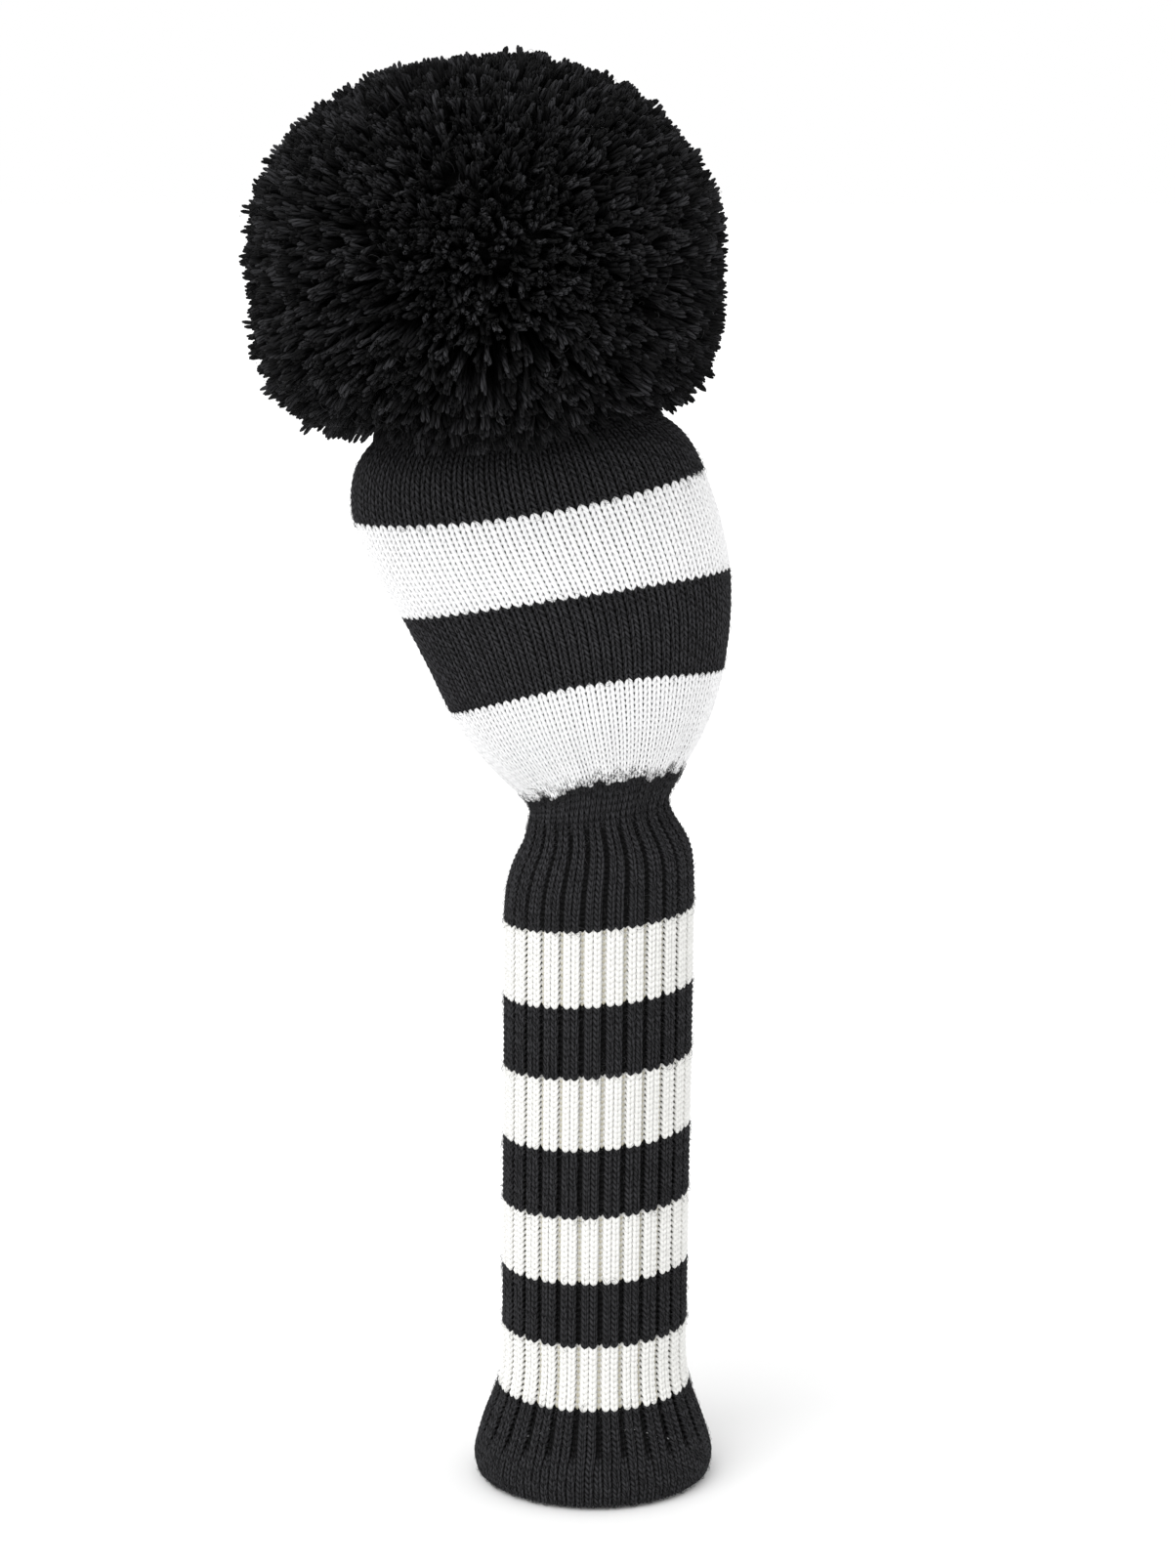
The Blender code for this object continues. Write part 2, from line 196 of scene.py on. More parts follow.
# An end starts this far out and bows, and its tip is flicked aside.
YARN_START = 0.5
YARN_BOW = 1.3 * MM
YARN_FLICK = 1.7 * MM
YARN_ASIDE = (0.3, 0.2, 0.9)
YARN_STEPS = np.array([0.0, 0.4, 0.7, 0.88, 0.975, 1.0])
YARN_THICKNESS = np.array([0.85, 0.95, 1.0, 1.1, 1.05, 0.45])
PLIES = 2
PLY_TWIST = 4.0
TONE_SPREAD = 0.1
POM_WISPS = 0.22
# The pom-pom's largest tilt, both ways at once, and each joint's own: yarn keeps clear of the crown at both.
POM_SWING = math.radians(11.5)
POM_TILT = math.radians(8.0)
POM_TILTS = [
    Matrix.Rotation(side * POM_TILT, 3, "Y") @ Matrix.Rotation(forward * POM_TILT, 3, "X")
    for side in (-1, 0, 1)
    for forward in (-1, 0, 1)
]
CROWN_GAP = 1.5 * MM
TIP_GAP = 1.8 * MM
CORE_GAP = 4 * MM
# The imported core's size as a share of the pom-pom's, which is less on its underside.
CORE_SHARE = 0.8
LOW_CORE_SHARE = 0.55
CORE_ROWS = 40
CORE_AROUND = 64
CORE_POLE = 0.02
# Ends that point down more steeply than this are shortened step by step until they clear the crown.
SHOULDER_SLOPE = -0.2
DRAW_BACK = 0.95
DRAW_TRIES = 12
UNDERSIDE_POWER = 3.4

AXIS_NODES = (
    ["cuff_band_black"]
    + [f"sock_band_{i}_{'white' if i % 2 else 'black'}" for i in range(1, 8)]
    + ["neck_band_black", "neck_gather_lower", "neck_gather_upper"]
    + ["head_band_white_lower", "head_band_black_middle", "head_band_white_upper", "head_band_black_crown"]
)

# The black stretches that loose fibres stand off.
FUZZY = (
    ["cuff_band_black"],
    ["sock_band_2_black"],
    ["sock_band_4_black"],
    ["sock_band_6_black"],
    ["neck_band_black", "neck_gather_lower"],
    ["neck_gather_upper"],
    ["head_band_black_middle"],
    ["head_band_black_crown"],
)


def in_head(node):
    """Whether a node is part of the head bag, whose knit is plain and hangs from the crown."""
    return "head" in node


# --- reading the knit surface from the frame ---------------------------------------------------------


def welded(node):
    """A node's points and triangles, with the points that coincide made one."""
    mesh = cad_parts[node].data
    points = np.empty(len(mesh.vertices) * 3)
    mesh.vertices.foreach_get("co", points)
    points = points.reshape(-1, 3)
    mesh.calc_loop_triangles()
    faces = np.empty(len(mesh.loop_triangles) * 3, np.int32)
    mesh.loop_triangles.foreach_get("vertices", faces)
    _, first, index = np.unique(
        np.round(points * 1e5).astype(np.int64), axis=0, return_index=True, return_inverse=True
    )
    return points[first], index.reshape(-1)[faces].reshape(-1, 3)


def in_turn_order(points):
    """A ring's points in order round +Z, from the +X side."""
    rel = points - points.mean(0)
    turn = np.mod(np.arctan2(rel[:, 1], rel[:, 0]) + 0.01, 2 * np.pi)
    return points[np.argsort(turn)]


def mean_radius(ring):
    """How far a ring's points lie from its middle, on average."""
    return np.linalg.norm(ring - ring.mean(0), axis=1).mean()


def wall_rings(node, inner=False):
    """The rings of a band's outer or inner wall, from its lower rim to its upper one."""
    points, faces = welded(node)
    corners = points[faces]
    normals = np.cross(corners[:, 1] - corners[:, 0], corners[:, 2] - corners[:, 0])
    normals /= np.linalg.norm(normals, axis=1, keepdims=True)
    sides = {}
    for f, (a, b, c) in enumerate(faces.tolist()):
        for edge in ((a, b), (b, c), (c, a)):
            sides.setdefault(tuple(sorted(edge)), []).append(f)
    links, sharp = {}, {}
    for (a, b), (f, g) in sides.items():
        kept = sharp if normals[f] @ normals[g] < 0.5 else links
        kept.setdefault(a, set()).add(b)
        kept.setdefault(b, set()).add(a)
    rims, left = [], set(sharp)
    while left:
        rim, todo = set(), [left.pop()]
        while todo:
            v = todo.pop()
            rim.add(v)
            todo += [w for w in sharp[v] if w in left and w not in rim]
            left -= rim
        rims.append(sorted(rim))
    rims.sort(key=lambda rim: points[rim][:, 2].mean())
    narrow, wide = sorted(rims[:2], key=lambda rim: mean_radius(points[rim]))
    ring = set(narrow if inner else wide)
    seen, rings = set(narrow) | set(wide), [ring]
    while True:
        ring = {w for v in ring for w in links.get(v, ())} - seen
        if not ring:
            return [in_turn_order(points[sorted(r)]) for r in rings]
        rings.append(ring)
        seen |= ring
        if ring & set(sharp):
            return [in_turn_order(points[sorted(r)]) for r in rings]


class Surface:
    """A smooth tube through rings of points, with t along it in metres and turn round it."""

    ORDERS = 5
    TABLE = 257

    def __init__(self, rings):
        rings = np.array(rings)
        steps = np.linalg.norm(np.diff(rings, axis=0), axis=2).mean(1)
        self.knots = np.concatenate([[0.0], np.cumsum(steps)])
        waves = np.fft.rfft(rings, axis=1)[:, : self.ORDERS] / rings.shape[1]
        waves[:, 1:] *= 2
        self.waves = waves
        last = len(self.knots) - 1
        low, high = np.clip(np.arange(last + 1) - 1, 0, last), np.clip(np.arange(last + 1) + 1, 0, last)
        self.slopes = (waves[high] - waves[low]) / (self.knots[high] - self.knots[low])[:, None, None]
        self.even = self.even_turns()

    def waves_at(self, t):
        t = np.clip(t, self.knots[0], self.knots[-1])
        i = np.clip(np.searchsorted(self.knots, t, side="right") - 1, 0, len(self.knots) - 2)
        width = (self.knots[i + 1] - self.knots[i])[:, None, None]
        x = (t - self.knots[i])[:, None, None] / width
        return (
            (2 * x**3 - 3 * x**2 + 1) * self.waves[i]
            + (x**3 - 2 * x**2 + x) * width * self.slopes[i]
            + (3 * x**2 - 2 * x**3) * self.waves[i + 1]
            + (x**3 - x**2) * width * self.slopes[i + 1]
        )

    def point(self, t, turn):
        phase = np.exp(1j * np.outer(turn, np.arange(self.ORDERS)))
        return np.real(np.einsum("nk,nkc->nc", phase, self.waves_at(t)))

    def place(self, t, turn):
        """Points and outward normals."""
        step = 1e-4
        here = self.point(t, turn)
        high, low = np.minimum(t + step, self.knots[-1]), np.maximum(t - step, 0.0)
        up = self.point(high, turn) - self.point(low, turn)
        around = self.point(t, turn + step) - self.point(t, turn - step)
        normal = np.cross(around, up)
        return here, normal / np.maximum(np.linalg.norm(normal, axis=1, keepdims=True), 1e-15)

    def even_turns(self):
        """For each ring, the turn at even steps of length round it."""
        turns = np.linspace(0, 2 * np.pi, self.TABLE)
        table = []
        for t in self.knots:
            ring = self.point(np.full(self.TABLE, t), turns)
            run = np.concatenate([[0.0], np.cumsum(np.linalg.norm(np.diff(ring, axis=0), axis=1))])
            table.append(np.interp(np.linspace(0, run[-1], self.TABLE), run, turns))
        return np.array(table)

    def turn_at(self, t, share):
        """The turn at a share of the way round, measured along the ring at t."""
        t = np.clip(t, self.knots[0], self.knots[-1])
        i = np.clip(np.searchsorted(self.knots, t, side="right") - 1, 0, len(self.knots) - 2)
        x = (t - self.knots[i]) / (self.knots[i + 1] - self.knots[i])
        laps = np.floor(share)
        place = (share - laps) * (self.TABLE - 1)
        k = np.minimum(place.astype(int), self.TABLE - 2)
        y = place - k
        low = self.even[i, k] * (1 - y) + self.even[i, k + 1] * y
        high = self.even[i + 1, k] * (1 - y) + self.even[i + 1, k + 1] * y
        return low * (1 - x) + high * x + laps * 2 * np.pi

    def girth(self, t):
        ring = self.point(np.full(self.TABLE, t), np.linspace(0, 2 * np.pi, self.TABLE))
        return np.linalg.norm(np.diff(ring, axis=0), axis=1).sum()


def hem_rings():
    """The turned-up hem's rings, those of the wall above it, and the number of the fold's lowest ring."""
    outer, inner = wall_rings("cuff_band_black"), wall_rings("cuff_hem_inner", inner=True)
    middle, half = (outer[0] + inner[0]) / 2, (outer[0] - inner[0]) / 2
    middle[:, 2] = 0.0
    half[:, 2] = 0.0
    lift = np.linalg.norm(half, axis=1, keepdims=True) * np.array([0.0, 0.0, 1.0])
    angles = np.linspace(0, math.pi, 7)
    fold = [middle - half * math.cos(a) + lift * (1 - math.sin(a)) for a in angles]
    down = [ring for ring in inner[::-1] if ring[:, 2].min() > lift[0, 2] * 1.5]
    up = [ring for ring in outer if ring[:, 2].min() > lift[0, 2] * 1.5]
    return down + fold, up, len(down) + len(angles) // 2


def read_cover():
    """The whole cover's surface, with the t at which each band starts and ends."""
    hem, rings, fold_ring = hem_rings()
    rings = hem + rings
    marks = {"cuff_hem_inner": [0, fold_ring], "cuff_band_black": [fold_ring, len(rings) - 1]}
    for node in AXIS_NODES[1:]:
        more = wall_rings(node)
        rings[-1] = (rings[-1] + more[0]) / 2
        start = len(rings) - 1
        rings += more[1:]
        marks[node] = [start, len(rings) - 1]
    surface = Surface(rings)
    return surface, {node: (surface.knots[a], surface.knots[b]) for node, (a, b) in marks.items()}


COVER, BANDS = read_cover()
FOLD = BANDS["cuff_band_black"][0]
WAIST_T = BANDS["neck_gather_lower"][1]
JOIN_T = BANDS["head_band_white_lower"][0]


# --- meshes ------------------------------------------------------------------------------------------


def ring_quads(rows, around, closed=False):
    """The quads between rings of points that lie one above the other, and back to the first if closed."""
    steps = rows if closed else rows - 1
    i = np.repeat(np.arange(steps), around)
    k = np.tile(np.arange(around), steps)
    j, m = (i + 1) % rows, (k + 1) % around
    return np.stack([i * around + k, i * around + m, j * around + m, j * around + k], 1)


def mesh_object(name, points, quads, material, uv=None, values=None):
    """An object of quads, with an optional UV map called yarn and named values for each point."""
    mesh = bpy.data.meshes.new(name)
    mesh.vertices.add(len(points))
    mesh.vertices.foreach_set("co", np.ascontiguousarray(points, np.float32).ravel())
    mesh.loops.add(len(quads) * 4)
    mesh.loops.foreach_set("vertex_index", np.ascontiguousarray(quads, np.int32).ravel())
    mesh.polygons.add(len(quads))
    mesh.polygons.foreach_set("loop_start", np.arange(0, len(quads) * 4, 4, dtype=np.int32))
    if uv is not None:
        mesh.uv_layers.new(name="yarn").data.foreach_set("uv", np.ascontiguousarray(uv, np.float32).ravel())
    for key, value in (values or {}).items():
        mesh.attributes.new(key, "FLOAT", "POINT").data.foreach_set("value", value.astype(np.float32))
    mesh.update(calc_edges=True)
    mesh.validate()
    mesh.shade_smooth()
    mesh.materials.append(material)
    obj = bpy.data.objects.new(name, mesh)
    bpy.context.scene.collection.objects.link(obj)
    return obj


class Yarns:
    """Collects round yarns, all with the same number of sides, into one mesh."""

    def __init__(self, sides=YARN_SIDES):
        self.sides = sides
        self.points, self.quads, self.uv = [], [], []
        self.values, self.count = {}, 0

    def add(self, path, up, radius, closed=False, values=None):
        """A yarn along path, whose cross-sections are squared to it with up as their first direction."""
        n, s = len(path), self.sides
        if closed:
            along = np.roll(path, -1, 0) - np.roll(path, 1, 0)
        else:
            along = np.gradient(path, axis=0)
        along /= np.maximum(np.linalg.norm(along, axis=1, keepdims=True), 1e-12)
        side = np.cross(along, up)
        side /= np.maximum(np.linalg.norm(side, axis=1, keepdims=True), 1e-12)
        top = np.cross(side, along)
        around = 2 * np.pi * np.arange(s) / s
        radius = np.broadcast_to(radius, (n,))[:, None, None]
        ring = np.cos(around)[None, :, None] * top[:, None] + np.sin(around)[None, :, None] * side[:, None]
        self.points.append((path[:, None] + radius * ring).reshape(-1, 3))
        rows = n if closed else n - 1
        i = np.repeat(np.arange(rows), s)
        k = np.tile(np.arange(s), rows)
        j, m = (i + 1) % n, (k + 1) % s
        quads = np.stack([i * s + k, j * s + k, j * s + m, i * s + m], 1)
        self.quads.append(quads + self.count)
        steps = np.linalg.norm(np.diff(path, axis=0, append=path[:1]), axis=1)
        run = np.concatenate([[0.0], np.cumsum(steps)]) * 1000
        uv = np.stack([run[i], k / s, run[i + 1], k / s, run[i + 1], (k + 1) / s, run[i], (k + 1) / s], 1)
        self.uv.append(uv)
        for key, value in (values or {}).items():
            value = np.broadcast_to(value, (n,))
            self.values.setdefault(key, []).append(np.repeat(value, s))
        self.count += n * s

    def build(self, name, material):
        return mesh_object(
            name,
            np.concatenate(self.points),
            np.concatenate(self.quads),
            material,
            np.concatenate(self.uv).reshape(-1, 2),
            {key: np.concatenate(value) for key, value in self.values.items()},
        )


# --- materials ---------------------------------------------------------------------------------------


class Nodes:
    """Short calls that add linked shader nodes to a material."""

    def __init__(self, name):
        self.material = bpy.data.materials.new(name)
        self.material.use_nodes = True
        self.tree = self.material.node_tree
        self.shader = self.tree.nodes["Principled BSDF"]

    def add(self, kind, **settings):
        node = self.tree.nodes.new(kind)
        for key, value in settings.items():
            setattr(node, key, value)
        return node

    def put(self, socket, value):
        if isinstance(value, bpy.types.NodeSocket):
            self.tree.links.new(value, socket)
        elif isinstance(value, tuple) and len(value) == 3 and socket.type == "RGBA":
            socket.default_value = (*value, 1.0)
        else:
            socket.default_value = value

    def math(self, operation, a, b=0.0):
        node = self.add("ShaderNodeMath", operation=operation)
        self.put(node.inputs[0], a)
        self.put(node.inputs[1], b)
        return node.outputs[0]

    def mix(self, share, a, b):
        node = self.add("ShaderNodeMix", data_type="RGBA")
        self.put(node.inputs["Factor"], share)
        self.put(node.inputs["A"], a)
        self.put(node.inputs["B"], b)
        return node.outputs["Result"]

    def ramp(self, value, low, high, start=0.0, end=1.0):
        node = self.add("ShaderNodeMapRange", interpolation_type="SMOOTHSTEP")
        for socket, x in zip(node.inputs[:5], (value, low, high, start, end)):
            self.put(socket, x)
        return node.outputs[0]

    def attribute(self, name):
        return self.add("ShaderNodeAttribute", attribute_name=name).outputs["Fac"]

    def noise(self, scale, detail=2.0, vector=None):
        node = self.add("ShaderNodeTexNoise")
        node.inputs["Scale"].default_value = scale
        node.inputs["Detail"].default_value = detail
        if vector is not None:
            self.tree.links.new(vector, node.inputs["Vector"])
        return node.outputs["Fac"]

    def object_coordinates(self):
        return self.add("ShaderNodeTexCoord").outputs["Object"]

    def bump(self, height, distance, strength=1.0, under=None):
        node = self.add("ShaderNodeBump")
        node.inputs["Strength"].default_value = strength
        node.inputs["Distance"].default_value = distance
        self.put(node.inputs["Height"], height)
        if under is not None:
            self.put(node.inputs["Normal"], under)
        return node.outputs[0]


def yarn_material(
    name, dark, light, sunk=None, twist=2.6,
    shadow=0.5, shadow_from=0.0, inward_shade=0.0, grain=0.35, streak=0.04,
):
    """Spun yarn: three plies that wind round it, and loose fibres along them.

    dark and light are the colours between the plies and on them: painted shade in the grooves and painted
    highlight on the plies, mixed with the fibres' own mottle. sunk is the colour in a rib's valley or between
    two wales, painted shade that in the white ribs is also a cream tint. twist is the length in millimetres
    over which the plies wind on by one ply. shadow is how much painted shadow darkens a yarn where it dives
    behind the next course, from shadow_from of the way down, and inward_shade how much painted shade darkens
    the side that faces into the knit. grain is how mottled the cloth is, and streak how much one yarn differs
    from the next.
    """
    n = Nodes(name)
    uv = n.add("ShaderNodeUVMap", uv_map="yarn").outputs[0]
    split = n.add("ShaderNodeSeparateXYZ")
    n.put(split.inputs[0], uv)
    run, around = split.outputs[0], split.outputs[1]
    turns = n.math("ADD", n.math("MULTIPLY", around, 3.0), n.math("DIVIDE", run, twist))
    ply = n.math("ABSOLUTE", n.math("SINE", n.math("MULTIPLY", turns, math.pi)))
    stretch = n.add("ShaderNodeCombineXYZ")
    n.put(stretch.inputs[0], n.math("MULTIPLY", run, 0.9))
    n.put(stretch.inputs[1], n.math("MULTIPLY", turns, 7.0))
    n.put(stretch.inputs[2], n.math("MULTIPLY", n.attribute("tone"), 37.0))
    fibre = n.noise(1.6, 3.0, stretch.outputs[0])
    cloth = n.noise(240.0, 2.0, n.object_coordinates())
    # Painted highlight on the plies and painted shade in the grooves between them, mixed with the fibres' own
    # mottle.
    raised = n.math("MULTIPLY", n.ramp(ply, 0.05, 0.85), 0.62)
    shade = n.math("ADD", raised, n.math("MULTIPLY", fibre, 0.55))
    colour = n.mix(n.ramp(shade, 0.15, 0.95), dark, light)
    mottle_and_shade = n.math("ADD", n.math("MULTIPLY", cloth, grain), 1.0 - grain / 2)
    # Painted shade: the side of the yarn that faces into the knit is darkened.
    outward = n.math("ABSOLUTE", n.math("SUBTRACT", n.math("MULTIPLY", around, 2.0), 1.0))
    mottle_and_shade = n.math("MULTIPLY", mottle_and_shade, n.ramp(outward, 0.35, 0.95, 1.0 - inward_shade, 1.0))
    mottle_and_shade = n.math("MULTIPLY", mottle_and_shade, n.ramp(n.attribute("tone"), 0.0, 1.0, 1.0 - streak, 1.0 + streak))
    # Painted shadow where the yarn dives behind the next course.
    mottle_and_shade = n.math("MULTIPLY", mottle_and_shade, n.ramp(n.attribute("dive"), shadow_from, 1.0, 1.0, 1.0 - shadow))
    scaled = n.add("ShaderNodeVectorMath", operation="SCALE")
    n.put(scaled.inputs[0], colour)
    n.put(scaled.inputs["Scale"], mottle_and_shade)
    colour = scaled.outputs[0]
    # Painted shade in a rib's valley and between two wales; in the white ribs it is also a cream tint.
    if sunk is not None:
        colour = n.mix(n.ramp(n.attribute("sunk"), 0.25, 0.85), colour, sunk)
    n.put(n.shader.inputs["Base Color"], colour)
    n.put(n.shader.inputs["Roughness"], n.ramp(fibre, 0.3, 0.7, 0.98, 0.78))
    n.shader.inputs["Specular IOR Level"].default_value = 0.15
    height = n.math("ADD", n.math("MULTIPLY", ply, 0.8), n.math("MULTIPLY", fibre, 0.7))
    n.put(n.shader.inputs["Normal"], n.bump(height, 0.12 * MM, 0.8))
    return n.material


def cloth_material(name, dark, light, wale=1.1 * MM, course=0.9 * MM):
    """Fine jersey lining: small interlocked rows, a little mottled."""
    n = Nodes(name)
    uv = n.add("ShaderNodeUVMap", uv_map="yarn").outputs[0]
    split = n.add("ShaderNodeSeparateXYZ")
    n.put(split.inputs[0], uv)
    across = n.math("MULTIPLY", split.outputs[0], 2 * math.pi * MM / wale)
    along = n.math("MULTIPLY", split.outputs[1], 2 * math.pi * MM / course)
    lean = n.math("ADD", along, n.math("MULTIPLY", n.math("COSINE", across), 1.6))
    rows = n.math("ADD", n.math("MULTIPLY", n.math("SINE", lean), 0.5), 0.5)
    columns = n.math("ABSOLUTE", n.math("SINE", n.math("MULTIPLY", across, 0.5)))
    stitch = n.math("MULTIPLY", rows, n.ramp(columns, 0.0, 0.5, 0.4, 1.0))
    mottle = n.noise(90.0, 4.0, n.object_coordinates())
    share = n.math("ADD", n.math("MULTIPLY", stitch, 0.7), n.math("MULTIPLY", mottle, 0.4))
    n.put(n.shader.inputs["Base Color"], n.mix(n.ramp(share, 0.1, 1.0), dark, light))
    n.put(n.shader.inputs["Roughness"], n.ramp(mottle, 0.3, 0.7, 0.97, 0.85))
    n.shader.inputs["Sheen Weight"].default_value = 0.15
    n.put(n.shader.inputs["Normal"], n.bump(stitch, 0.25 * MM, 0.9))
    return n.material


def wound_material(name, dark, light, pitch=0.7 * MM, axis="Z", roughness=(0.9, 0.7)):
    """Thread or covered elastic, wound or woven at an even pitch, on the plain parts inside."""
    n = Nodes(name)
    place = n.object_coordinates()
    split = n.add("ShaderNodeSeparateXYZ")
    n.put(split.inputs[0], place)
    wave = n.math("SINE", n.math("MULTIPLY", split.outputs["XYZ".index(axis)], 2 * math.pi / pitch))
    fuzz = n.noise(1400.0, 3.0, place)
    share = n.math("ADD", n.math("MULTIPLY", wave, 0.35), fuzz)
    n.put(n.shader.inputs["Base Color"], n.mix(n.ramp(share, 0.1, 0.9), dark, light))
    n.put(n.shader.inputs["Roughness"], n.ramp(fuzz, 0.3, 0.7, *roughness))
    n.shader.inputs["Specular IOR Level"].default_value = 0.15
    n.put(n.shader.inputs["Normal"], n.bump(share, 0.15 * MM, 0.9))
    return n.material


# --- the knit ----------------------------------------------------------------------------------------


def smooth(x, low, high):
    """A smooth step from 0 at low to 1 at high."""
    x = np.clip((x - low) / (high - low), 0, 1)
    return x * x * (3 - 2 * x)


def rib_share(wale, ribbed):
    """Where a wale lies round the sock, as a share: two wide knit wales and a narrow purl one to a rib."""
    rib, place = np.divmod(wale, WALES_PER_RIB)
    even = place / WALES_PER_RIB
    squeezed = np.interp(place, [0, KNIT_WALES, WALES_PER_RIB], [0.0, RIB_SHARE, 1.0])
    return (rib + even * (1 - ribbed) + squeezed * ribbed) / RIBS


def ribs(across, t):
    """For places counted in wales: their shares of the way round at t, their depth and their lift."""
    gathered = smooth(t, WAIST_T - FADE_BELOW, WAIST_T + FADE_ABOVE)
    ribbed = smooth(t, FOLD + HEM_PLAIN, FOLD + HEM_RIBBED) * (1 - RIB_LOSS * gathered)
    place = np.mod(across, WALES_PER_RIB)
    # sunk lowers a rib's valley and also marks it for the material's painted shade.
    sunk = np.exp(-(((place - VALLEY_WALE) / VALLEY_WIDTH) ** 2)) * ribbed
    lift = -RIB_VALLEY * sunk - RIB_CROWN * np.minimum((place - 1) ** 2, 1) * ribbed
    share = rib_share(across, ribbed) + VALLEY_TURN / (2 * math.pi) - VALLEY_SHARE / RIBS
    return share, sunk, lift


def waves(turn, counts, rng):
    """A wandering value of about 1 at most, made of waves that close round the cover."""
    phases = rng.uniform(0, 2 * np.pi, len(counts))
    return sum(np.sin(n * turn + p) for n, p in zip(counts, phases)) / math.sqrt(len(counts))


def on_cover(t, turn, out):
    """Points and normals of the knit, a height out of the surface, with its jagged join and its puckers."""
    jag = waves(turn, (5, 9, 14, 23, 31), np.random.default_rng(SEED))
    t = t + JAG * jag * np.exp(-(((t - JOIN_T) / JAG_LENGTH) ** 2))
    points, normals = COVER.place(t, turn)
    fold = waves(turn, (7, 12, 17, 22), np.random.default_rng(SEED + 1))
    above = np.exp(-np.abs(t - JOIN_T - PUCKER_PEAK) / PUCKER_LENGTH)
    above *= smooth(t, JOIN_T + PUCKER_START, JOIN_T + PUCKER_FULL)
    out = out + PUCKER * 0.5 * (np.tanh(1.2 * fold) - 1) * above
    return points + normals * out[:, None], normals


def knit(node, material):
    """One knitted band in place of its frame node: each course is a yarn that loops in its wales."""
    name = node + "_knit"
    start, end = BANDS[node]
    sock = not in_head(node)
    wales = RIBS * WALES_PER_RIB if sock else HEAD_WALES
    pitch = SOCK_COURSE if sock else HEAD_COURSE
    courses = max(1, round((end - start) / pitch))
    pitch = (end - start) / courses
    yarn = SOCK_YARN if sock else HEAD_YARN
    nominal = 2 * math.pi * SOCK_RADIUS / wales if sock else WIDE_HEAD_WALE
    rng = np.random.default_rng([SEED, *name.encode()])
    phase = np.tile(np.arange(STITCH_POINTS) / STITCH_POINTS, wales)
    wale = np.repeat(np.arange(wales), STITCH_POINTS)
    up_down = 1.0 if sock else -1.0
    yarns = Yarns()
    for course in range(courses):
        t_mid = start + (course + 0.5) * pitch
        narrow = min(1.0, COVER.girth(t_mid) / wales / nominal)
        radius = yarn * (SLIMMEST_YARN + (1 - SLIMMEST_YARN) * narrow)
        grouping = SOCK_GROUPING if sock else HEAD_GROUPING
        grouping += WAIST_GROUPING * math.exp(-(((t_mid - WAIST_T) / WAIST_REACH) ** 2))
        reach = EDGE_REACH if course in (0, courses - 1) else SOCK_REACH if sock else HEAD_REACH
        reach = reach + np.repeat(rng.normal(0, REACH_SPREAD, wales), STITCH_POINTS)
        across = wale + phase + ROUND_OUT * np.sin(4 * np.pi * phase) + grouping * np.sin(2 * np.pi * phase)
        t = t_mid + pitch * up_down * reach * np.cos(2 * np.pi * phase)
        depth = -0.8 * np.cos(4 * np.pi * phase) - 0.2 * np.cos(2 * np.pi * phase)
        if not sock:
            depth += LEG_FLATNESS * (1 - np.cos(8 * np.pi * phase)) / 2
        # dive marks where the yarn dives behind the next course; the material darkens it there as painted
        # shadow.
        dive = np.clip(0.5 - 0.6 * depth, 0, 1)
        if sock:
            share, sunk, lift = ribs(across, t_mid)
            depth = depth * (1 - VALLEY_FLATTENING * sunk)
        else:
            share, lift = across / wales, 0.0
            # Painted shade in the gap between two wales.
            sunk = WALE_GAP_SHADE * np.exp(-((np.minimum(phase, 1 - phase) / WALE_GAP_SHADE_WIDTH) ** 2))
        turn = COVER.turn_at(np.full(len(t), t_mid), share)
        out = depth * radius * YARN_WAVE - radius * YARN_SINK + lift + rng.normal(0, COURSE_SPREAD)
        path, normals = on_cover(t, turn, out)
        values = {"sunk": sunk, "dive": dive, "tone": rng.random()}
        yarns.add(path, normals, radius, closed=True, values=values)
        if node.startswith("neck"):
            add_ring(yarns, t_mid, wales, BACKING_DEPTH, BACKING_SHARE * pitch)
    piece = yarns.build(name, material)
    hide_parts(node)
    return piece


def add_ring(yarns, t, count, depth, radius):
    """A plain yarn that runs once round the cover, under its surface."""
    share = np.arange(count) / count
    ts = np.full(count, t)
    path, normals = on_cover(ts, COVER.turn_at(ts, share), np.full(count, -depth))
    # The ring lies under the knit, so a dive of 0.9 darkens it as painted shadow.
    yarns.add(path, normals, radius, closed=True, values={"sunk": 0.0, "dive": 0.9, "tone": 0.5})


def fuzz(name, nodes, material, count, spill=0.0):
    """Loose fibres that curl off the yarn over a stretch, most of them near its two colour changes.

    With a spill they all stand near its upper edge instead, and stray past it by about that much.
    """
    start, end = BANDS[nodes[0]][0], BANDS[nodes[-1]][1]
    rng = np.random.default_rng([SEED, *name.encode()])
    fibres = Yarns(FIBRE_SIDES)
    steps = np.linspace(0, 1, FIBRE_POINTS)
    for _ in range(count):
        inward = abs(rng.normal(0, FUZZ_SPREAD))
        if spill:
            t = rng.normal(end, spill)
        else:
            t = rng.choice([start + inward, end - inward, rng.uniform(start, end)])
        turn = rng.uniform(0, 2 * np.pi)
        length = rng.uniform(*FUZZ_LENGTHS)
        heading, curl = rng.uniform(0, 2 * np.pi), rng.normal(0, FUZZ_CURL)
        angle = heading + curl * steps
        radius = max(COVER.girth(t) / (2 * np.pi), 1 * MM)
        run_t = t + np.cumsum(np.cos(angle)) * length / len(steps)
        run_turn = turn + np.cumsum(np.sin(angle)) * length / len(steps) / radius
        out = -FUZZ_ROOT + np.sin(np.pi * steps) * rng.uniform(*FUZZ_HEIGHTS) * MM
        path, normals = on_cover(np.clip(run_t, 0, COVER.knots[-1]), run_turn, out)
        fibres.add(path, normals, FUZZ_RADIUS, values={"tone": rng.random(), "dive": 0.0, "sunk": 0.0})
    return fibres.build(name, material)


